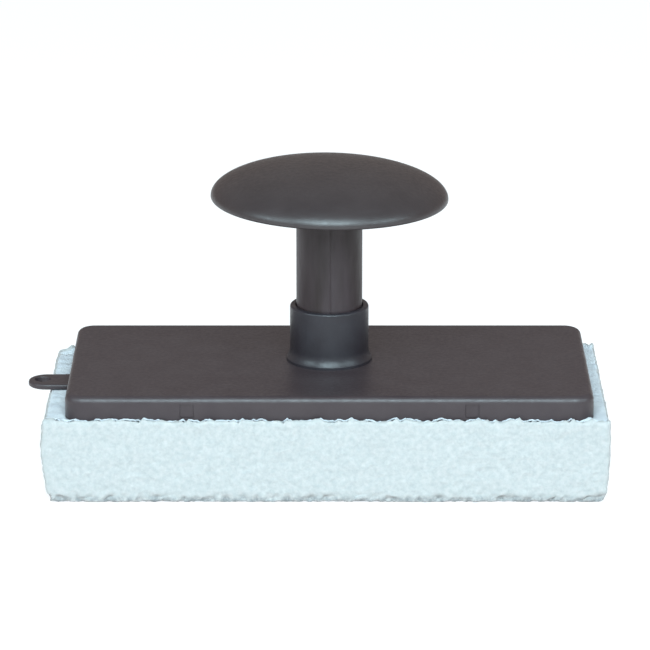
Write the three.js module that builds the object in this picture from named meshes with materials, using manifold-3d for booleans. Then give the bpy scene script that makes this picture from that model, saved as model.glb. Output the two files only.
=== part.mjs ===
// Grout float: a thick sponge pad held by hook-and-loop under a moulded plate with a knob handle.
// Millimetres, +Z up. The origin is the middle of the pad's working face, on the floor;
// +X runs along the pad and the user stands on the -Y side.
import * as THREE from 'three';
import { mergeVertices } from 'three/addons/utils/BufferGeometryUtils.js';
import Module from 'manifold-3d';

const wasm = await Module();
wasm.setup();

// ---------------------------------------------------------------- driving dimensions

const pad = { length: 250, width: 118, foam: 35.25, backing: 1, corner: 2 };

// The plate is pressed on by hand, so it sits a little off the middle of the pad.
const plateX = 1.25;
const plateY = 0;
// The handle stands a little behind the middle of the plate.
const handleY = plateY + 2.5;

const plate = { length: 234, width: 112, height: 11.5, wall: 2.5, top: 3, corner: 8, edge: 3 };
const eyelet = { reach: 19.5, width: 16.5, thick: 2.5, hole: 3.5, margin: 6.5 };
const eyeletY = plateY - 1;
const catches = { x: 63, width: 6.5, recess: 0.4 };
const collar = { height: 25.7, radius: 17.8, bore: 15.2, floor: 6, rim: 1 };
const flare = { top: 6, radius: 8, sweep: 37 };
const stem = { radius: 14.9, bore: 11.9, web: 4 };
const knob = { radius: 53.4, dome: 15, lip: 1.2, shell: 2.5, widest: 124 };
const bolt = { radius: 4, length: 90, head: 5.3, flats: 13, hole: 4.25 };
const screw = { count: 4, ring: 12.5, radius: 1.65, pilot: 1.85, length: 8, head: 3.5, headHeight: 2.4 };
const gap = 0.3;

// Heights of the layers, from the floor up.
const backingBottom = pad.foam;
const hookBottom = backingBottom + pad.backing;
const panelBottom = hookBottom + 1.75;
const panelTop = panelBottom + 2.5;
const skirtBottom = hookBottom + 0.25;
const plateTop = skirtBottom + plate.height;
const plateCeiling = plateTop - plate.top;
const washerBottom = plateCeiling - 1.5;
const windowBottom = panelBottom + 0.5;
const windowTop = plateCeiling - 0.25;
const cupFloor = plateTop + collar.floor;
const knobRim = knob.widest - knob.lip;
const knobSeat = knob.widest - 2.5;
const stemTop = knobSeat - 2.5;

// ---------------------------------------------------------------- materials

function plastic(color, roughness) {
  return new THREE.MeshStandardMaterial({ color, roughness, metalness: 0 });
}

function steel(color, roughness) {
  return new THREE.MeshStandardMaterial({ color, roughness, metalness: 1 });
}

// ---------------------------------------------------------------- shape helpers

// A closed three.js surface as a solid that can be joined and cut.
function solid(geometry) {
  const bare = geometry.clone();
  bare.deleteAttribute('normal');
  bare.deleteAttribute('uv');
  const welded = mergeVertices(bare, 1e-4);
  const vertProperties = new Float32Array(welded.attributes.position.array);
  const triVerts = new Uint32Array(welded.index.array);
  return new wasm.Manifold(new wasm.Mesh({ numProp: 3, vertProperties, triVerts }));
}

function geometryOf(body) {
  const mesh = body.getMesh();
  const geometry = new THREE.BufferGeometry();
  geometry.setAttribute('position', new THREE.BufferAttribute(new Float32Array(mesh.vertProperties), 3));
  geometry.setIndex(new THREE.BufferAttribute(new Uint32Array(mesh.triVerts), 1));
  const flat = geometry.toNonIndexed();
  flat.computeVertexNormals();
  return flat;
}

// The outline of a rectangle with rounded corners, centred on the origin.
function roundedOutline(length, width, radius) {
  const x = length / 2 - radius;
  const y = width / 2 - radius;
  const outline = new THREE.Shape();
  outline.absarc(x, y, radius, 0, Math.PI / 2);
  outline.absarc(-x, y, radius, Math.PI / 2, Math.PI);
  outline.absarc(-x, -y, radius, Math.PI, Math.PI * 1.5);
  outline.absarc(x, -y, radius, Math.PI * 1.5, Math.PI * 2);
  return outline;
}

// An outline raised straight up between two heights.
function slab(outline, bottom, top, x = 0, y = 0) {
  const geometry = new THREE.ExtrudeGeometry(outline, {
    depth: top - bottom, bevelEnabled: false, curveSegments: 6,
  });
  return solid(geometry.translate(x, y, bottom));
}

// The same, drawn in at the top edge by a rounding of the given radius.
function slabWithRoundTop(outline, rounding, bottom, top, x = 0, y = 0) {
  const below = bottom - 2 * rounding;
  const geometry = new THREE.ExtrudeGeometry(outline, {
    depth: top - below - 2 * rounding,
    bevelThickness: rounding,
    bevelSize: rounding,
    bevelOffset: -rounding,
    bevelSegments: 4,
    curveSegments: 6,
  });
  const raised = solid(geometry.translate(x, y, below + rounding));
  return raised.subtract(block(500, 500, below - 1, bottom, x, y));
}

function block(length, width, bottom, top, x = 0, y = 0) {
  const geometry = new THREE.BoxGeometry(length, width, top - bottom);
  return solid(geometry.translate(x, y, (top + bottom) / 2));
}

function drum(radius, bottom, top, x = 0, y = 0, segments = 36) {
  const geometry = new THREE.CylinderGeometry(radius, radius, top - bottom, segments);
  return solid(geometry.rotateX(Math.PI / 2).translate(x, y, (top + bottom) / 2));
}

function hexagon(flats, bottom, top, x, y) {
  return drum(flats / Math.sqrt(3), bottom, top, x, y, 6);
}

// A profile of [radius, height] pairs turned about the handle's axis.
function turned(profile, segments = 48) {
  const points = profile.map(([radius, height]) => new THREE.Vector2(radius, height));
  const geometry = new THREE.LatheGeometry(points, segments);
  return solid(geometry.rotateX(Math.PI / 2).translate(plateX, handleY, 0));
}

// Points along an elliptical arc in the profile plane, angles in degrees from the radius axis.
function arc(centreRadius, centreHeight, reach, rise, from, to, steps) {
  return Array.from({ length: steps + 1 }, (_, step) => {
    const angle = THREE.MathUtils.degToRad(from + ((to - from) * step) / steps);
    return [centreRadius + reach * Math.cos(angle), centreHeight + rise * Math.sin(angle)];
  });
}

// Where the screws that hold the collar stand, around the handle's axis.
function screwPlaces() {
  return Array.from({ length: screw.count }, (_, index) => {
    const angle = (Math.PI / 2) * (index + 0.5);
    return [plateX + screw.ring * Math.cos(angle), handleY + screw.ring * Math.sin(angle)];
  });
}

// Where the plate's skirt has its four catch windows: x, and the side (-1 front, 1 back).
const catchPlaces = [-catches.x, catches.x].flatMap((x) => [-1, 1].map((side) => [plateX + x, side]));

const object = new THREE.Group();
object.name = 'grout_float';

function add(name, body, material) {
  const mesh = new THREE.Mesh(geometryOf(body), material);
  mesh.name = name;
  object.add(mesh);
}

// ---------------------------------------------------------------- the pad that peels off

function spongePad() {
  return slab(roundedOutline(pad.length, pad.width, pad.corner), 0, pad.foam);
}

// Loop fabric bonded over the whole top of the sponge.
function padBacking() {
  return slab(roundedOutline(pad.length, pad.width, pad.corner), backingBottom, hookBottom);
}

// ---------------------------------------------------------------- the plate

function hookSheet() {
  const outline = roundedOutline(plate.length - 8, plate.width - 8, plate.corner - 3);
  const sheet = slab(outline, hookBottom, panelBottom, plateX, plateY);
  return sheet.subtract(drum(13, hookBottom - 1, panelBottom + 1, plateX, handleY));
}

// A catch stands at the panel's edge and hooks into its window from inside.
function panelCatch(x, side) {
  const innerWall = plateY + side * (plate.width / 2 - plate.wall - gap);
  const outerFace = plateY + side * (plate.width / 2 - catches.recess);
  const width = catches.width - 2 * gap;
  const bottom = windowBottom + gap;
  const top = windowTop - gap;
  const tongue = block(width, 1.5, bottom, top, x, innerWall - side * 0.75);
  const depth = Math.abs(outerFace - innerWall) + 0.5;
  return tongue.add(block(width, depth, bottom, top, x, outerFace - (side * depth) / 2));
}

// The closing panel carries the hook sheet and snaps into the plate's skirt.
function basePanel() {
  const inset = 2 * (plate.wall + gap);
  const outline = roundedOutline(plate.length - inset, plate.width - inset, plate.corner - plate.wall);
  let panel = slab(outline, panelBottom, panelTop, plateX, plateY);
  panel = panel.subtract(drum(13, panelBottom - 1, panelTop + 1, plateX, handleY));
  for (const [x, side] of catchPlaces) {
    panel = panel.add(panelCatch(x, side));
  }
  return panel;
}

// The hanging eyelet is moulded on the plate's left end, level with the skirt's lower edge.
function hangingEyelet() {
  const end = eyelet.width / 2;
  const tip = plateX - plate.length / 2 - eyelet.reach;
  const root = plateX - plate.length / 2 + plate.wall / 2;
  const outline = new THREE.Shape();
  outline.absarc(tip + end, eyeletY, end, Math.PI / 2, Math.PI * 1.5);
  outline.lineTo(root, eyeletY - end);
  outline.lineTo(root, eyeletY + end);
  const tab = slabWithRoundTop(outline, 1, skirtBottom, skirtBottom + eyelet.thick);
  return tab.subtract(drum(eyelet.hole, 0, 100, tip + eyelet.margin, eyeletY, 24));
}

function plateRibs() {
  const bottom = panelTop + gap;
  const top = plateCeiling + 0.5;
  const inside = plate.length - 2 * plate.wall + 1;
  const across = plate.width - 2 * plate.wall + 1;
  let ribs = block(inside, 1.5, bottom, top, plateX, plateY - 27);
  ribs = ribs.add(block(inside, 1.5, bottom, top, plateX, plateY + 31));
  for (const x of [-95, -45, 45, 95]) {
    ribs = ribs.add(block(1.5, across, bottom, top, plateX + x, plateY));
  }
  return ribs;
}

function backingPlate() {
  const outline = roundedOutline(plate.length, plate.width, plate.corner);
  const cavity = roundedOutline(
    plate.length - 2 * plate.wall, plate.width - 2 * plate.wall, plate.corner - plate.wall,
  );
  let body = slabWithRoundTop(outline, plate.edge, skirtBottom, plateTop, plateX, plateY);
  body = body.subtract(slab(cavity, skirtBottom - 1, plateCeiling, plateX, plateY));
  body = body.add(plateRibs()).add(hangingEyelet());
  body = body.subtract(drum(bolt.hole, plateCeiling - 1, plateTop + 1, plateX, handleY));
  for (const [x, y] of screwPlaces()) {
    body = body.subtract(drum(screw.pilot, plateCeiling - 1, plateTop + 1, x, y, 18));
  }
  for (const [x, side] of catchPlaces) {
    const wall = plateY + side * (plate.width - plate.wall) / 2;
    body = body.subtract(block(catches.width, plate.wall + 1, windowBottom, windowTop, x, wall));
  }
  return body;
}

// ---------------------------------------------------------------- the handle

// The cup that the stem stands in. Its wall curves out to the foot and its rim has a rounded edge.
function socketCollar() {
  const rimTop = plateTop + collar.height;
  const edge = collar.radius - collar.rim;
  const curve = collar.radius + flare.radius;
  const foot = curve - flare.radius * Math.cos(THREE.MathUtils.degToRad(flare.sweep));
  const profile = [
    [bolt.hole, plateTop],
    [foot, plateTop],
    ...arc(curve, plateTop + flare.top, flare.radius, flare.radius, 180 + flare.sweep, 180, 5),
    ...arc(edge, rimTop - collar.rim, collar.rim, collar.rim, 0, 90, 4),
    [collar.bore, rimTop],
    [collar.bore, cupFloor],
    [bolt.hole, cupFloor],
    [bolt.hole, plateTop],
  ];
  let cup = turned(profile);
  for (const [x, y] of screwPlaces()) {
    cup = cup.subtract(drum(screw.pilot, plateTop - 1, plateTop + screw.length - 2.5, x, y, 18));
  }
  return cup;
}

// A tube closed at its foot by a web that the bolt passes through.
function stemTube() {
  return turned([
    [bolt.hole, cupFloor],
    [stem.radius, cupFloor],
    [stem.radius, stemTop],
    [stem.bore, stemTop],
    [stem.bore, cupFloor + stem.web],
    [bolt.hole, cupFloor + stem.web],
    [bolt.hole, cupFloor],
  ]);
}

// The dished lower half of the knob, with a sleeve that grips the top of the stem.
function knobUnderside() {
  const edge = knob.radius - knob.lip - knob.shell - gap;
  const sleeve = stem.radius + 2.8;
  return turned([
    [bolt.hole, stemTop],
    [stem.radius + gap, stemTop],
    [stem.radius + gap, stemTop - 5.5],
    [sleeve, stemTop - 5.5],
    ...arc(sleeve + 4, stemTop - 4, 4, 4, 180, 90, 4),
    [edge - 4, knobRim - 1],
    [edge, knobRim],
    [edge, knobRim + 0.75],
    [edge - 4, knobRim + 1.5],
    [sleeve + 6, knobSeat],
    [bolt.hole, knobSeat],
    [bolt.hole, stemTop],
  ]);
}

// The domed upper shell of the knob. A boss inside it holds the nut.
function knobDome() {
  const crown = knob.widest + knob.dome;
  const outside = [
    [0, knobRim],
    [knob.radius - knob.lip, knobRim],
    ...arc(knob.radius - knob.lip, knob.widest, knob.lip, knob.lip, -90, 0, 3).slice(1),
    ...arc(0, knob.widest, knob.radius, knob.dome, 0, 90, 16).slice(1, -1),
    [0, crown],
  ];
  const inner = knob.radius - knob.lip - knob.shell;
  const hollow = turned([
    [0, knobRim - 1],
    [inner, knobRim - 1],
    [inner, knob.widest],
    ...arc(0, knob.widest, inner, knob.dome - knob.shell, 0, 90, 8).slice(1, -1),
    [0, crown - knob.shell],
  ], 48);
  const filled = turned(outside, 72);
  const bossFoot = drum(11, knobSeat, knob.widest + 2, plateX, handleY);
  let inside = drum(11, knob.widest, crown, plateX, handleY);
  for (const turn of [0, 1, 2]) {
    const rib = new THREE.BoxGeometry(2 * inner, 1.5, 10).rotateZ((turn * Math.PI) / 3);
    inside = inside.add(solid(rib.translate(plateX, handleY, knob.widest + 7)));
  }
  let dome = filled.subtract(hollow).add(inside.intersect(filled)).add(bossFoot);
  dome = dome.subtract(hexagon(bolt.flats + 2 * gap, knobSeat - 1, knobSeat + 7.5, plateX, handleY));
  return dome.subtract(drum(bolt.hole, knobSeat, knobSeat + 12.5, plateX, handleY, 24));
}

// ---------------------------------------------------------------- fasteners

function stemBolt() {
  const head = hexagon(bolt.flats, washerBottom - bolt.head, washerBottom, plateX, handleY);
  return head.add(drum(bolt.radius, washerBottom - 1, washerBottom + bolt.length, plateX, handleY, 24));
}

function boltWasher() {
  const ring = drum(8, washerBottom, plateCeiling, plateX, handleY);
  return ring.subtract(drum(bolt.hole, washerBottom - 1, plateCeiling + 1, plateX, handleY, 24));
}

function knobNut() {
  const nut = hexagon(bolt.flats, knobSeat, knobSeat + 6.8, plateX, handleY);
  return nut.subtract(drum(bolt.radius + 0.15, knobSeat - 1, knobSeat + 8, plateX, handleY, 24));
}

function collarScrew(x, y) {
  const head = drum(screw.head, plateCeiling - screw.headHeight, plateCeiling, x, y, 18);
  const shank = drum(screw.radius, plateCeiling - 1, plateCeiling + screw.length, x, y, 18);
  const slot = hexagon(3, plateCeiling - screw.headHeight - 1, plateCeiling - 1.2, x, y);
  return head.add(shank).subtract(slot);
}

// ---------------------------------------------------------------- assembly

add('sponge_pad', spongePad(), plastic('#dfe9ee', 0.95));
add('pad_backing', padBacking(), plastic('#c3d2da', 0.9));
add('hook_sheet', hookSheet(), plastic('#26262a', 0.8));
add('base_panel', basePanel(), plastic('#2d2b2d', 0.55));
add('backing_plate', backingPlate(), plastic('#3d393b', 0.45));
add('socket_collar', socketCollar(), plastic('#333337', 0.42));
add('stem', stemTube(), plastic('#38343a', 0.5));
add('knob_underside', knobUnderside(), plastic('#363235', 0.55));
add('knob_dome', knobDome(), plastic('#393436', 0.5));
add('stem_bolt', stemBolt(), steel('#b4b8bc', 0.35));
add('bolt_washer', boltWasher(), steel('#c2c5c8', 0.3));
add('knob_nut', knobNut(), steel('#aeb2b6', 0.35));
screwPlaces().forEach(([x, y], index) => {
  add(`collar_screw_${index + 1}`, collarScrew(x, y), steel('#bcc0c4', 0.3));
});

export default object;
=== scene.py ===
"""Looks of the grout float: a sponge pad held by hook and loop under a moulded plate with a
knob handle. Metres, in the CAD frame; places come from the boxes of the CAD nodes."""
import math

import bmesh
import bpy
from mathutils import Matrix, Vector, noise


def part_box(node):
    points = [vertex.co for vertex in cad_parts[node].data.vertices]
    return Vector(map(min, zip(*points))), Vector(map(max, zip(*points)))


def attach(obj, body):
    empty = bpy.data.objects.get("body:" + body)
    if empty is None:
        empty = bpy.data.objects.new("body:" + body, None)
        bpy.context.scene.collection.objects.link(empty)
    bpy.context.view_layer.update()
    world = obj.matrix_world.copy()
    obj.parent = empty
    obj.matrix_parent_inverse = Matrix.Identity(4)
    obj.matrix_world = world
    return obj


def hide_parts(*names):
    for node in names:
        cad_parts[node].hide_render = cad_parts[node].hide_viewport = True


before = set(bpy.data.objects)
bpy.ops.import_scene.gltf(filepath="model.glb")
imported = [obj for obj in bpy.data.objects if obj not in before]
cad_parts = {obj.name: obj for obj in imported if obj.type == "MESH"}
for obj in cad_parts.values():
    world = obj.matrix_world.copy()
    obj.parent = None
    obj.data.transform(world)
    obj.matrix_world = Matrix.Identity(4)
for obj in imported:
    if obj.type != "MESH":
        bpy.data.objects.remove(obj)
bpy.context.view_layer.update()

MM = 0.001

# ---------------------------------------------------------------- places from the CAD

sponge_low, sponge_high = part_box("sponge_pad")
backing_low, backing_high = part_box("pad_backing")
hook_low, hook_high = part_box("hook_sheet")
panel_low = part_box("base_panel")[0]
plate_low, plate_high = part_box("backing_plate")
collar_low, collar_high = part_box("socket_collar")
stem_low, stem_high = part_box("stem")
under_low, under_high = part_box("knob_underside")
dome_low, dome_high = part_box("knob_dome")

handle = (dome_low + dome_high) / 2
# The eyelet makes the plate's own box lopsided, so its middle comes from the hook sheet.
plate_middle = (hook_low + hook_high) / 2
plate_half = Vector((plate_high.x - plate_middle.x, plate_high.y - plate_middle.y))

# ---------------------------------------------------------------- sizes

# The play between two pieces that fit together.
FIT = 0.3 * MM
WALL = 2.5 * MM
PLATE_TOP = 3 * MM
PLATE_CORNER = 8 * MM
PLATE_EDGE = 3 * MM
LOWER_EDGE = 0.4 * MM
RIB_THICK = 1.5 * MM
RIB_PLACES = (-27 * MM, 31 * MM)
PANEL_THICK = 2.5 * MM
EYELET_WIDTH = 16.5 * MM
EYELET_THICK = 2.5 * MM
EYELET_HOLE = 3.5 * MM
EYELET_MARGIN = 6.5 * MM
eyelet_y = plate_middle.y - 1 * MM
CATCH_X = 63 * MM
WINDOW_WIDTH = 6.1 * MM
COLLAR_RADIUS = 17.8 * MM
COLLAR_BORE = 15.2 * MM
COLLAR_RIM = 1 * MM
FLARE_TOP = 6 * MM
FLARE_RADIUS = 8 * MM
FLARE_SWEEP_DEGREES = 37
STEM_WALL = 3 * MM
STEM_WEB = 4 * MM
KNOB_WIDEST = 124 * MM
KNOB_LIP = 1.2 * MM
KNOB_SHELL = 2.5 * MM
KNOB_SLEEVE = 2.8 * MM
KNOB_FILLET = 4 * MM
KNOB_LEAN_DEGREES = 1.0
BOLT_HOLE = 4.25 * MM
HOOK_OPENING = 13 * MM
HOOK_HEIGHT = 0.8 * MM
HOOK_PITCH = 3 * MM

# ---------------------------------------------------------------- node helpers


def new_material(name):
    material = bpy.data.materials.new(name)
    material.use_nodes = True
    nodes = material.node_tree.nodes
    return material, nodes, material.node_tree.links, nodes["Principled BSDF"]


def object_coordinates(nodes, links, stretch=(1, 1, 1)):
    place = nodes.new("ShaderNodeTexCoord")
    mapping = nodes.new("ShaderNodeMapping")
    mapping.inputs["Scale"].default_value = stretch
    links.new(place.outputs["Object"], mapping.inputs["Vector"])
    return mapping.outputs["Vector"]


def noise_texture(nodes, links, where, size, detail=3, roughness=0.55):
    """Noise whose features are about size metres across."""
    texture = nodes.new("ShaderNodeTexNoise")
    texture.inputs["Scale"].default_value = 1 / size
    texture.inputs["Detail"].default_value = detail
    texture.inputs["Roughness"].default_value = roughness
    links.new(where, texture.inputs["Vector"])
    return texture.outputs["Fac"]


def spread(nodes, links, value, low, high, start=0.35, end=0.65):
    """A value stretched so that start to end becomes low to high."""
    ranged = nodes.new("ShaderNodeMapRange")
    ranged.inputs["From Min"].default_value = start
    ranged.inputs["From Max"].default_value = end
    ranged.inputs["To Min"].default_value = low
    ranged.inputs["To Max"].default_value = high
    links.new(value, ranged.inputs["Value"])
    return ranged.outputs["Result"]


def mixed_colour(nodes, links, value, first, second):
    """A blend of two colours, each given as three numbers or as another node's output."""
    mix = nodes.new("ShaderNodeMix")
    mix.data_type = "RGBA"
    links.new(value, mix.inputs["Factor"])
    for name, colour in (("A", first), ("B", second)):
        if isinstance(colour, bpy.types.NodeSocket):
            links.new(colour, mix.inputs[name])
        else:
            mix.inputs[name].default_value = (*colour, 1)
    return mix.outputs["Result"]


def bumped(nodes, links, height, distance, strength=1.0, under=None):
    bump = nodes.new("ShaderNodeBump")
    bump.inputs["Distance"].default_value = distance
    bump.inputs["Strength"].default_value = strength
    links.new(height, bump.inputs["Height"])
    if under is not None:
        links.new(under, bump.inputs["Normal"])
    return bump.outputs["Normal"]


# ---------------------------------------------------------------- materials


def moulded_plastic(name, dark, light, roughness, streak=1.0, shine=0.5):
    """Satin moulded plastic: fine grain, faint flow mottling and handling marks.

    Marks are drawn out along the height where streak is below 1. A shine of 0.5 is plain plastic."""
    material, nodes, links, shader = new_material(name)
    where = object_coordinates(nodes, links)
    drawn = object_coordinates(nodes, links, (1, 1, streak))
    mottle = noise_texture(nodes, links, drawn, 0.012, 4)
    grain = noise_texture(nodes, links, where, 0.0007, 2)
    marks = noise_texture(nodes, links, drawn, 0.002, 3, 0.7)
    tone = spread(nodes, links, mottle, 0, 1)
    links.new(mixed_colour(nodes, links, tone, dark, light), shader.inputs["Base Color"])
    shader.inputs["Specular IOR Level"].default_value = shine
    rough = spread(nodes, links, marks, roughness - 0.05, roughness + 0.08)
    links.new(rough, shader.inputs["Roughness"])
    fine = bumped(nodes, links, grain, 0.00004, 0.6)
    links.new(bumped(nodes, links, marks, 0.00008, 0.5, fine), shader.inputs["Normal"])
    return material


def foam(name, pale, shade, painted_shade_colour):
    """Open-celled sponge: pores and torn cell walls, with painted contact shade in patches along its lower
    edge.
    """
    material, nodes, links, shader = new_material(name)
    where = object_coordinates(nodes, links)
    cells = nodes.new("ShaderNodeTexVoronoi")
    cells.inputs["Scale"].default_value = 1 / 0.0015
    links.new(where, cells.inputs["Vector"])
    blotches = noise_texture(nodes, links, where, 0.0022, 5, 0.65)
    crumbs = noise_texture(nodes, links, where, 0.0009, 3, 0.7)
    tone = spread(nodes, links, blotches, 0, 1, 0.3, 0.7)
    clean = mixed_colour(nodes, links, tone, shade, pale)
    parts = nodes.new("ShaderNodeSeparateXYZ")
    links.new(where, parts.inputs["Vector"])
    # Painted shade: the colour darkens in patches towards the floor, standing in for the contact shadow
    # along the lower edge.
    low_down = spread(nodes, links, parts.outputs["Z"], 1, 0, 0, 3.5 * MM)
    painted_shade_mask = nodes.new("ShaderNodeMath")
    painted_shade_mask.operation = "MULTIPLY"
    links.new(low_down, painted_shade_mask.inputs[0])
    links.new(spread(nodes, links, blotches, 0.9, 0.1), painted_shade_mask.inputs[1])
    painted_low_shade = mixed_colour(nodes, links, painted_shade_mask.outputs["Value"], clean, painted_shade_colour)
    links.new(painted_low_shade, shader.inputs["Base Color"])
    shader.inputs["Roughness"].default_value = 0.95
    shader.inputs["Specular IOR Level"].default_value = 0.15
    pores = bumped(nodes, links, cells.outputs["Distance"], 0.0004, 0.3)
    links.new(bumped(nodes, links, crumbs, 0.0004, 0.4, pores), shader.inputs["Normal"])
    return material


def loop_fabric(name, pale, shade):
    """Brushed loop pile: short fibres lying every way on a knitted ground."""
    material, nodes, links, shader = new_material(name)
    where = object_coordinates(nodes, links)
    pile = noise_texture(nodes, links, where, 0.0008, 4, 0.7)
    patches = noise_texture(nodes, links, where, 0.008, 3)
    tone = spread(nodes, links, patches, 0, 1)
    links.new(mixed_colour(nodes, links, tone, shade, pale), shader.inputs["Base Color"])
    shader.inputs["Roughness"].default_value = 0.9
    shader.inputs["Specular IOR Level"].default_value = 0.15
    shader.inputs["Sheen Weight"].default_value = 0.2
    links.new(bumped(nodes, links, pile, 0.0006, 0.8), shader.inputs["Normal"])
    return material


def zinc_steel(name):
    """Zinc-plated steel with fine turning marks and duller patches."""
    material, nodes, links, shader = new_material(name)
    where = object_coordinates(nodes, links)
    rings = object_coordinates(nodes, links, (1, 1, 14))
    patches = noise_texture(nodes, links, where, 0.004, 4)
    turning = noise_texture(nodes, links, rings, 0.004, 2)
    tone = spread(nodes, links, patches, 0, 1)
    links.new(mixed_colour(nodes, links, tone, (0.42, 0.43, 0.45), (0.58, 0.59, 0.6)),
              shader.inputs["Base Color"])
    links.new(spread(nodes, links, patches, 0.25, 0.45), shader.inputs["Roughness"])
    links.new(bumped(nodes, links, turning, 0.00003, 0.6), shader.inputs["Normal"])
    shader.inputs["Metallic"].default_value = 1.0
    return material


PLATE_PLASTIC = moulded_plastic("plate_plastic", (0.034, 0.023, 0.026), (0.041, 0.029, 0.032), 0.42)
HANDLE_PLASTIC = moulded_plastic(
    "handle_plastic", (0.022, 0.015, 0.016), (0.028, 0.020, 0.021), 0.40, shine=0.68)
COLLAR_PLASTIC = moulded_plastic("collar_plastic", (0.016, 0.013, 0.017), (0.021, 0.018, 0.023), 0.38)
STEM_PLASTIC = moulded_plastic("stem_plastic", (0.017, 0.009, 0.009), (0.043, 0.029, 0.033), 0.45, 0.15)
PANEL_PLASTIC = moulded_plastic("panel_plastic", (0.034, 0.023, 0.026), (0.041, 0.029, 0.032), 0.42)
HOOK_PLASTIC = moulded_plastic("hook_plastic", (0.016, 0.016, 0.018), (0.024, 0.024, 0.027), 0.55)
# The sponge's last colour is painted contact shade for its lower edge.
SPONGE = foam("sponge_foam", (0.46, 0.455, 0.45), (0.355, 0.37, 0.37), (0.12, 0.13, 0.14))
LOOP = loop_fabric("loop_fabric", (0.58, 0.61, 0.64), (0.50, 0.53, 0.57))
STEEL = zinc_steel("zinc_steel")

# ---------------------------------------------------------------- mesh helpers


def mesh_object(name, points, faces, material, smooth_below=40):
    mesh = bpy.data.meshes.new(name)
    mesh.from_pydata([tuple(point) for point in points], [], faces)
    made = bpy.data.objects.new(name, mesh)
    bpy.context.scene.collection.objects.link(made)
    tidy_faces(made, smooth_below)
    mesh.materials.append(material)
    return made


def tidy_faces(made, smooth_below):
    """Joins points that meet, turns faces outwards and keeps edges sharper than smooth_below crisp."""
    whole = bmesh.new()
    whole.from_mesh(made.data)
    bmesh.ops.remove_doubles(whole, verts=whole.verts, dist=1e-6)
    bmesh.ops.recalc_face_normals(whole, faces=whole.faces)
    whole.to_mesh(made.data)
    whole.free()
    made.data.shade_smooth()
    made.data.set_sharp_from_angle(angle=math.radians(smooth_below))


def ring_faces(rings, count, closed=False):
    """Quads between consecutive rings of count points, and from the last to the first if closed."""
    faces = []
    for ring in range(rings if closed else rings - 1):
        above = (ring + 1) % rings
        for step in range(count):
            after = (step + 1) % count
            faces.append((ring * count + step, ring * count + after,
                          above * count + after, above * count + step))
    return faces


def stacked(name, rings, material):
    """A solid through a stack of outlines with equal numbers of points."""
    count = len(rings[0])
    faces = ring_faces(len(rings), count)
    faces.append(tuple(range(count)))
    faces.append(tuple(range(len(rings) * count - count, len(rings) * count)))
    return mesh_object(name, [point for ring in rings for point in ring], faces, material)


def arc(centre_r, centre_z, reach, rise, start, end, steps):
    """Points (radius, height) on an elliptical arc, angles in degrees from the radius axis."""
    points = []
    for step in range(steps + 1):
        angle = math.radians(start + (end - start) * step / steps)
        points.append((centre_r + reach * math.cos(angle), centre_z + rise * math.sin(angle)))
    return points


def turned(name, profile, material, closed=True, steps=144, smooth_below=40):
    """A profile of (radius, height) turned about the handle's axis."""
    points = []
    for radius, height in profile:
        for step in range(steps):
            angle = 2 * math.pi * step / steps
            points.append((handle.x + radius * math.cos(angle),
                           handle.y + radius * math.sin(angle), height))
    return mesh_object(name, points, ring_faces(len(profile), steps, closed), material, smooth_below)


def rounded_ring(half_x, half_y, radius, height, steps=12):
    """Points round the plate's middle on a rectangle with rounded corners."""
    ring = []
    for corner, (side_x, side_y) in enumerate(((1, 1), (-1, 1), (-1, -1), (1, -1))):
        for step in range(steps + 1):
            angle = math.radians(90 * corner + 90 * step / steps)
            ring.append((plate_middle.x + side_x * (half_x - radius) + radius * math.cos(angle),
                         plate_middle.y + side_y * (half_y - radius) + radius * math.sin(angle),
                         height))
    return ring


def circle(x, y, radius, height, steps=48):
    return [(x + radius * math.cos(2 * math.pi * step / steps),
             y + radius * math.sin(2 * math.pi * step / steps), height) for step in range(steps)]


def block(low, high):
    rings = [[(low[0], low[1], z), (high[0], low[1], z), (high[0], high[1], z), (low[0], high[1], z)]
             for z in (low[2], high[2])]
    return stacked("block", rings, PANEL_PLASTIC)


def combine(made, others, operation):
    """The object joined with, or cut by, the others, as a plain mesh; the others are used up."""
    for other in others:
        step = made.modifiers.new("combine", "BOOLEAN")
        step.operation = operation
        step.solver = "EXACT"
        step.object = other
    graph = bpy.context.evaluated_depsgraph_get()
    result = bpy.data.meshes.new_from_object(made.evaluated_get(graph))
    made.modifiers.clear()
    made.data = result
    for other in others:
        bpy.data.objects.remove(other)


def flat_faces_stay_flat(made):
    weighted = made.modifiers.new("flat_faces", "WEIGHTED_NORMAL")
    weighted.keep_sharp = True
    weighted.weight = 100


def finish_piece(piece, body, node):
    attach(piece, body)
    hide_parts(node)


# ---------------------------------------------------------------- the plate


def plate_ring(inset, height, corner=PLATE_CORNER):
    return rounded_ring(plate_half.x - inset, plate_half.y - inset, corner - inset, height)


def rounded_edge(ring, edge, top, steps):
    """Rings that turn over a rounded top edge, from ring(inset, height)."""
    rings = []
    for step in range(steps + 1):
        angle = math.radians(90 * step / steps)
        rings.append(ring(edge * (1 - math.cos(angle)), top - edge * (1 - math.sin(angle))))
    return rings


def eyelet_ring(inset, height):
    """The tab's outline: half round at the tip, straight back into the plate's wall."""
    end = EYELET_WIDTH / 2
    centre_x = plate_low.x + end
    ring = []
    for step in range(33):
        angle = math.radians(90 + 180 * step / 32)
        ring.append((centre_x + (end - inset) * math.cos(angle),
                     eyelet_y + (end - inset) * math.sin(angle), height))
    root = plate_middle.x - plate_half.x + WALL / 2
    ring.append((root, eyelet_y - end + inset, height))
    ring.append((root, eyelet_y + end - inset, height))
    return ring


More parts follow.
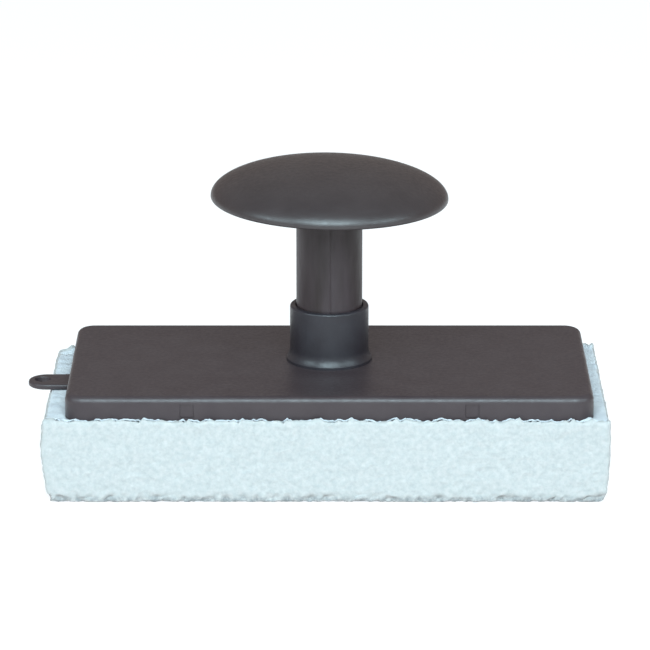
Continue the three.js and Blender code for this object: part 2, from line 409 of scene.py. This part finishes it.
def eyelet_tab():
    bottom = plate_low.z
    top = bottom + EYELET_THICK
    rings = [eyelet_ring(LOWER_EDGE, bottom), eyelet_ring(0, bottom + LOWER_EDGE)]
    rings += rounded_edge(eyelet_ring, 1 * MM, top, 6)
    tab = stacked("eyelet", rings, PLATE_PLASTIC)
    hole_x = plate_low.x + EYELET_MARGIN
    rings = [circle(hole_x, eyelet_y, EYELET_HOLE + 0.5 * MM, top + 0.5 * MM),
             circle(hole_x, eyelet_y, EYELET_HOLE, top - 0.5 * MM),
             circle(hole_x, eyelet_y, EYELET_HOLE, bottom - 1 * MM)]
    combine(tab, [stacked("hole", rings, PLATE_PLASTIC)], "DIFFERENCE")
    return tab


def plate_piece():
    """The moulded plate: an open-bottomed shell with a rounded top edge, its two long ribs and
    the windows for the catches."""
    bottom = plate_low.z
    top = plate_high.z
    ceiling = top - PLATE_TOP
    rings = [plate_ring(LOWER_EDGE, bottom), plate_ring(0, bottom + LOWER_EDGE)]
    rings += rounded_edge(plate_ring, PLATE_EDGE, top, 10)
    plate = stacked("plate", rings, PLATE_PLASTIC)
    hollow = [plate_ring(WALL, bottom - 1 * MM), plate_ring(WALL, ceiling)]
    cavity = stacked("cavity", hollow, PLATE_PLASTIC)
    windows = []
    window_low = panel_low.z + 0.7 * MM
    window_high = ceiling - 0.45 * MM
    for x in (plate_middle.x - CATCH_X, plate_middle.x + CATCH_X):
        for y in (plate_middle.y - plate_half.y, plate_middle.y + plate_half.y):
            windows.append(block((x - WINDOW_WIDTH / 2, y - 1.5 * WALL, window_low),
                                 (x + WINDOW_WIDTH / 2, y + 1.5 * WALL, window_high)))
    combine(plate, [cavity] + windows, "DIFFERENCE")
    ribs = []
    rib_end = plate_half.x - WALL / 2
    rib_low = panel_low.z + PANEL_THICK + FIT
    for place in RIB_PLACES:
        y = plate_middle.y + place
        ribs.append(block((plate_middle.x - rib_end, y, rib_low),
                          (plate_middle.x + rib_end, y + RIB_THICK, ceiling + 0.5 * MM)))
    combine(plate, ribs + [eyelet_tab()], "UNION")
    tidy_faces(plate, 35)
    flat_faces_stay_flat(plate)
    finish_piece(plate, "holder", "backing_plate")


plate_piece()

# ---------------------------------------------------------------- the handle


def collar_piece():
    """The cup the stem stands in: a rounded rim, and a wall that curves out to its foot."""
    foot = collar_high.x - handle.x
    low = collar_low.z
    high = collar_high.z
    profile = [(BOLT_HOLE, low), (foot, low)]
    profile += arc(COLLAR_RADIUS + FLARE_RADIUS, low + FLARE_TOP, FLARE_RADIUS, FLARE_RADIUS,
                   180 + FLARE_SWEEP_DEGREES, 180, 12)
    profile += arc(COLLAR_RADIUS - COLLAR_RIM, high - COLLAR_RIM, COLLAR_RIM, COLLAR_RIM, 0, 90, 8)
    profile += arc(COLLAR_BORE + 0.4 * MM, high - 0.4 * MM, 0.4 * MM, 0.4 * MM, 90, 180, 4)
    profile += [(COLLAR_BORE, stem_low.z), (BOLT_HOLE, stem_low.z)]
    collar = turned("collar", profile, COLLAR_PLASTIC, smooth_below=30)
    finish_piece(collar, "holder", "socket_collar")


def stem_piece():
    """The stem: a tube whose two mould halves meet in a groove with a little flash beside it.

    Angles are in degrees round the stem; the grooves are at its front and back."""
    radius = stem_high.x - handle.x
    groove_turn = 2.5
    groove_width = 1.3
    flash_place = -3.4
    flash_width = 1.1
    levels = 34
    steps = 288
    points = []
    for level in range(levels + 1):
        height = stem_low.z + (stem_high.z - stem_low.z) * level / levels
        for step in range(steps):
            angle = 2 * math.pi * step / steps
            across = (math.degrees(angle) - 90) % 180 - groove_turn
            if across > 90:
                across -= 180
            ragged = 0.5 + noise.noise(Vector((angle, height / (2.5 * MM), 3)))
            groove = -0.3 * MM * math.exp(-(across / groove_width) ** 2)
            flash = 0.25 * MM * ragged * math.exp(-((across - flash_place) / flash_width) ** 2)
            reach = radius + groove + max(0, flash)
            points.append((handle.x + reach * math.cos(angle), handle.y + reach * math.sin(angle), height))
    for height in (stem_high.z, stem_low.z + STEM_WEB):
        points += circle(handle.x, handle.y, radius - STEM_WALL, height, steps)
    for height in (stem_low.z + STEM_WEB, stem_low.z):
        points += circle(handle.x, handle.y, BOLT_HOLE, height, steps)
    stem = mesh_object("stem_tube", points, ring_faces(levels + 5, steps, True), STEM_PLASTIC, 50)
    finish_piece(stem, "holder", "stem")


def seated(piece):
    """The knob sits a degree out of square on the stem, lower on the right."""
    pivot = Matrix.Translation((handle.x, handle.y, stem_high.z))
    lean = pivot @ Matrix.Rotation(math.radians(KNOB_LEAN_DEGREES), 4, "Y") @ pivot.inverted()
    piece.data.transform(lean)


def knob_dome_piece():
    """The domed upper shell: a shallow ellipse over a small rounded lip."""
    radius = dome_high.x - handle.x
    crown = dome_high.z
    rim = KNOB_WIDEST - KNOB_LIP
    inner = radius - KNOB_LIP - KNOB_SHELL
    profile = [(0, crown)]
    profile += reversed(arc(0, KNOB_WIDEST, radius, crown - KNOB_WIDEST, 0, 89, 40))
    profile += arc(radius - KNOB_LIP, KNOB_WIDEST, KNOB_LIP, KNOB_LIP, 0, -90, 8)[1:]
    profile += [(inner, rim)]
    profile += arc(0, KNOB_WIDEST, inner, crown - KNOB_WIDEST - KNOB_SHELL, 0, 89, 24)
    profile += [(0, crown - KNOB_SHELL)]
    dome = turned("knob_shell", profile, HANDLE_PLASTIC, closed=False, steps=192)
    seated(dome)
    finish_piece(dome, "holder", "knob_dome")


def knob_underside_piece():
    """The dished lower half with the sleeve that grips the stem."""
    edge = under_high.x - handle.x
    top = under_high.z
    rim = KNOB_WIDEST - KNOB_LIP
    stem_radius = stem_high.x - handle.x
    sleeve = stem_radius + KNOB_SLEEVE
    profile = [(BOLT_HOLE, stem_high.z), (stem_radius + FIT, stem_high.z)]
    profile += arc(stem_radius + 1.4 * MM, under_low.z + 1.1 * MM, 1.1 * MM, 1.1 * MM, 180, 360, 10)
    profile += arc(sleeve + KNOB_FILLET, stem_high.z - KNOB_FILLET, KNOB_FILLET, KNOB_FILLET, 180, 90, 10)
    profile += [(edge - 4 * MM, rim - 1 * MM)]
    profile += arc(edge - 0.8 * MM, rim, 0.8 * MM, 0.8 * MM, -70, 60, 6)
    profile += [(edge - 4 * MM, top - 0.3 * MM), (sleeve + 6 * MM, top), (BOLT_HOLE, top)]
    underside = turned("knob_dish", profile, HANDLE_PLASTIC)
    seated(underside)
    finish_piece(underside, "holder", "knob_underside")


collar_piece()
stem_piece()
knob_dome_piece()
knob_underside_piece()

# ---------------------------------------------------------------- hook sheet and hidden parts


def hook_tape_piece():
    """A moulded tape with rows of little mushroom hooks that point down at the pad."""
    base = hook_low.z + HOOK_HEIGHT
    half_x = (hook_high.x - hook_low.x) / 2
    half_y = (hook_high.y - hook_low.y) / 2
    rings = [rounded_ring(half_x, half_y, 5 * MM, height) for height in (base, hook_high.z)]
    tape = stacked("hook_tape", rings, HOOK_PLASTIC)
    hole = stacked("hole", [circle(plate_middle.x, handle.y, HOOK_OPENING, height)
                            for height in (base - MM, hook_high.z + MM)], HOOK_PLASTIC)
    combine(tape, [hole], "DIFFERENCE")
    sides = 5
    whole = bmesh.new()
    whole.from_mesh(tape.data)
    profile = ((0.3 * MM, base + 0.1 * MM), (0.25 * MM, base - 0.3 * MM),
               (0.55 * MM, base - 0.45 * MM), (0.3 * MM, hook_low.z + 0.05 * MM))
    for row in range(-16, 17):
        for column in range(-36, 37):
            x = plate_middle.x + column * HOOK_PITCH
            y = plate_middle.y + row * HOOK_PITCH
            if math.hypot(x - plate_middle.x, y - handle.y) < HOOK_OPENING + 1 * MM:
                continue
            rings = [[whole.verts.new(point) for point in circle(x, y, radius, height, sides)]
                     for radius, height in profile]
            for below, above in zip(rings, rings[1:]):
                for step in range(sides):
                    after = (step + 1) % sides
                    whole.faces.new((below[step], below[after], above[after], above[step]))
            whole.faces.new(rings[-1])
            whole.faces.new(rings[0])
    whole.to_mesh(tape.data)
    whole.free()
    tidy_faces(tape, 40)
    finish_piece(tape, "holder", "hook_sheet")


def repaint(node, material):
    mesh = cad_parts[node].data
    mesh.materials.clear()
    mesh.materials.append(material)


hook_tape_piece()
repaint("base_panel", PANEL_PLASTIC)
for node in ("stem_bolt", "bolt_washer", "knob_nut"):
    repaint(node, STEEL)
for number in range(1, 5):
    repaint(f"collar_screw_{number}", STEEL)

# ---------------------------------------------------------------- the pad

SPONGE_CELL = 1 * MM
SPONGE_EDGE = 1.3 * MM
FABRIC_CELL = 1.25 * MM
FABRIC_EDGE = 0.45 * MM
FABRIC_END_INSET = 0.8 * MM
FABRIC_FRONT_INSET = 2.6 * MM
END_PUFF = 0.9 * MM
FRONT_PUFF = 2 * MM
PORE_SPACING = 2.2 * MM
TORN_HEIGHT = 5 * MM
WORN_REACH = 18 * MM


def smooth_step(start, end, value):
    share = min(1, max(0, (value - start) / (end - start)))
    return share * share * (3 - 2 * share)


def block_lattice(low, high, cell, radius):
    """The surface of a box with rounded edges, in square cells: points with their outward
    directions, and faces."""
    size = high - low
    counts = [max(2, round(length / cell)) for length in size]
    index = {}
    points = []
    outwards = []

    def corner(i, j, k):
        if (i, j, k) not in index:
            spot = Vector([low[a] + size[a] * n / counts[a] for a, n in enumerate((i, j, k))])
            core = Vector([min(max(spot[a], low[a] + radius), high[a] - radius) for a in range(3)])
            outward = (spot - core).normalized()
            index[(i, j, k)] = len(points)
            points.append(core + outward * radius)
            outwards.append(outward)
        return index[(i, j, k)]

    faces = []
    for axis in range(3):
        first, second = [a for a in range(3) if a != axis]
        for side in (0, counts[axis]):
            for u in range(counts[first]):
                for v in range(counts[second]):
                    quad = []
                    for du, dv in ((0, 0), (1, 0), (1, 1), (0, 1)):
                        lattice = [0, 0, 0]
                        lattice[axis] = side
                        lattice[first] = u + du
                        lattice[second] = v + dv
                        quad.append(corner(*lattice))
                    faces.append(tuple(quad))
    return points, outwards, faces


def puff(x, y):
    """How far the soft pad swells up beside the plate that is pressed onto it."""
    beyond_x = abs(x - plate_middle.x) - plate_half.x
    beyond_y = abs(y - plate_middle.y) - plate_half.y
    beyond = max(beyond_x, beyond_y)
    along_front = smooth_step(-1 * MM, 1 * MM, beyond_y)
    rise = END_PUFF + (FRONT_PUFF - END_PUFF) * along_front
    rise *= smooth_step(0.2 * MM, 1.6 * MM, beyond)
    spot = Vector((x, y, 0))
    rise *= 0.8 + 0.6 * noise.noise(spot / (5 * MM)) + 0.8 * noise.noise(spot / (2 * MM))
    under_tab = 1 - smooth_step(0, 3 * MM, abs(y - eyelet_y) - EYELET_WIDTH / 2)
    if x < plate_middle.x:
        rise *= 1 - under_tab
    return rise


def side_swell(point):
    """The pad's ends belly out at mid height and draw in towards the floor, and the right end's
    lower corner is rounded off."""
    share = point.z / sponge_high.z
    belly = math.sin(math.pi * min(1, share) ** 1.6)
    foot = (1 - min(1, share)) ** 2
    corner = 2.5 * MM * (1 - min(1, point.z / (4 * MM))) ** 2
    if point.x < 0:
        return -(1.5 * MM * belly - 1.2 * MM * foot) * smooth_step(0.6, 1, point.x / sponge_low.x)
    return (0.7 * MM * belly - 1.0 * MM * foot - corner) * smooth_step(0.6, 1, point.x / sponge_high.x)


def worn_corner(point):
    """The pad's back left corner is worn down and in."""
    away = math.hypot(point.x - sponge_low.x, point.y - sponge_high.y)
    worn = smooth_step(WORN_REACH, 0, away) * min(1, point.z / sponge_high.z)
    return Vector((0, -4 * MM * worn, -2.2 * MM * worn))


def sponge_piece():
    """The sponge: lumps, open pores and a torn lower edge over a soft block."""
    points, outwards, faces = block_lattice(sponge_low, sponge_high, SPONGE_CELL, SPONGE_EDGE)
    top = sponge_high.z
    shaped = []
    for point, outward in zip(points, outwards):
        level = Vector((outward.x, outward.y, 0))
        side = level.length
        lumps = 0.3 * MM * noise.noise(point / (7 * MM)) + 0.4 * MM * noise.noise(point / (2.2 * MM))
        near = noise.voronoi(point / PORE_SPACING)[0][0]
        pores = -0.5 * MM * max(0, 1 - near / 0.42)
        moved = point + outward * (lumps + pores)
        moved.x += side_swell(point)
        low_edge = 1 - smooth_step(0.5 * MM, TORN_HEIGHT, point.z)
        torn = max(0, noise.noise(point / (3 * MM) + Vector((7, 7, 7))) + 0.15)
        moved -= level * (3.0 * MM * torn * low_edge * side)
        if outward.z < 0.5:
            lifted = max(0, noise.noise(point / (2.6 * MM) + Vector((3, 1, 4))) + 0.1)
            moved.z += 2.4 * MM * lifted * low_edge * side
        # The foam laps over the fabric's front and back edges, and stops short of its top at the ends.
        beyond_x = abs(point.x) - sponge_high.x + 1.6 * MM
        beyond_y = abs(point.y) - sponge_high.y + 3 * MM
        rim = max(0.55 * MM * smooth_step(-0.5 * MM, 0.5 * MM, beyond_x),
                  1.06 * MM * smooth_step(-1.4 * MM, -0.4 * MM, beyond_y))
        moved.z += (puff(point.x, point.y) + rim) * smooth_step(0.5 * top, top, point.z)
        moved += worn_corner(point)
        moved.z = min(max(moved.z, 0), top + puff(point.x, point.y) + rim)
        shaped.append(moved)
    sponge = mesh_object("sponge", shaped, faces, SPONGE, 180)
    finish_piece(sponge, "pad", "sponge_pad")


def loop_face_piece():
    """The loop fabric bonded over the top of the sponge, a little short of its edges."""
    points, outwards, faces = block_lattice(backing_low, backing_high, FABRIC_CELL, FABRIC_EDGE)
    shaped = []
    for point, outward in zip(points, outwards):
        pile = 0.14 * MM * noise.noise(point / (1.1 * MM)) if outward.z > 0.3 else 0
        edge = 0.35 * MM * noise.noise(point / (3 * MM))
        moved = point.copy()
        moved.x += (edge - FABRIC_END_INSET) * point.x / backing_high.x + side_swell(point)
        moved.y += (edge - FABRIC_FRONT_INSET) * point.y / backing_high.y
        moved.z += min(0, pile - 0.07 * MM) + puff(point.x, point.y)
        moved += worn_corner(point)
        shaped.append(moved)
    loops = mesh_object("loop_face", shaped, faces, LOOP, 180)
    finish_piece(loops, "pad", "pad_backing")


sponge_piece()
loop_face_piece()

# ---------------------------------------------------------------- camera, light and floor


def camera():
    """From the front, looking down at 17 degrees with a long lens."""
    elevation = math.radians(16.9)
    distance = 1.853
    target = Vector((-0.0007, 0, 0.0644))
    back = Vector((0, -math.cos(elevation), math.sin(elevation)))
    eye = bpy.data.objects.new("camera", bpy.data.cameras.new("camera"))
    eye.data.lens = 226.8
    eye.data.sensor_width = 36
    eye.location = target + back * distance
    eye.rotation_euler = (-back).to_track_quat("-Z", "Y").to_euler()
    bpy.context.scene.collection.objects.link(eye)
    bpy.context.scene.camera = eye


def soft_light(name, place, aim, size, power, colour):
    lamp = bpy.data.lights.new(name, "AREA")
    lamp.shape = "RECTANGLE"
    lamp.size, lamp.size_y = size
    lamp.energy = power
    lamp.color = colour
    stand = bpy.data.objects.new(name, lamp)
    stand.location = place
    stand.rotation_euler = (Vector(aim) - Vector(place)).to_track_quat("-Z", "Y").to_euler()
    bpy.context.scene.collection.objects.link(stand)


def studio():
    cool = (0.70, 0.92, 1.0)
    soft_light("front_box", (0, -1.6, 1.3), (0, 0, 0.05), (1.5, 1.1), 62, cool)
    for side in (-1, 1):
        soft_light(f"side_box_{side}", (1.6 * side, -1.0, 1.0), (0, 0, 0.05), (0.9, 0.6), 15, cool)
    world = bpy.data.worlds.new("studio")
    bpy.context.scene.world = world
    world.use_nodes = True
    nodes = world.node_tree.nodes
    links = world.node_tree.links
    direction = nodes.new("ShaderNodeTexCoord")
    parts = nodes.new("ShaderNodeSeparateXYZ")
    links.new(direction.outputs["Generated"], parts.inputs["Vector"])
    height = spread(nodes, links, parts.outputs["Z"], 0, 1, 0.15, 0.9)
    sky = mixed_colour(nodes, links, height, (0.34, 0.28, 0.25), (0.45, 0.46, 0.47))
    links.new(sky, nodes["Background"].inputs["Color"])
    bpy.context.scene.view_settings.view_transform = "Standard"


def floor():
    """A plain white table, lit evenly enough to read as white paper."""
    half = 4
    points = [(-half, -half, 0), (half, -half, 0), (half, half, 0), (-half, half, 0)]
    material, nodes, links, shader = new_material("floor_paper")
    shader.inputs["Base Color"].default_value = (0.30, 0.30, 0.30, 1)
    shader.inputs["Roughness"].default_value = 0.8
    shader.inputs["Specular IOR Level"].default_value = 0.1
    shader.inputs["Emission Color"].default_value = (1.0, 1.02, 1.04, 1)
    shader.inputs["Emission Strength"].default_value = 0.76
    ground = mesh_object("floor", points, [(0, 1, 2, 3)], material)
    ground.location.z = -0.0002


camera()
studio()
floor()
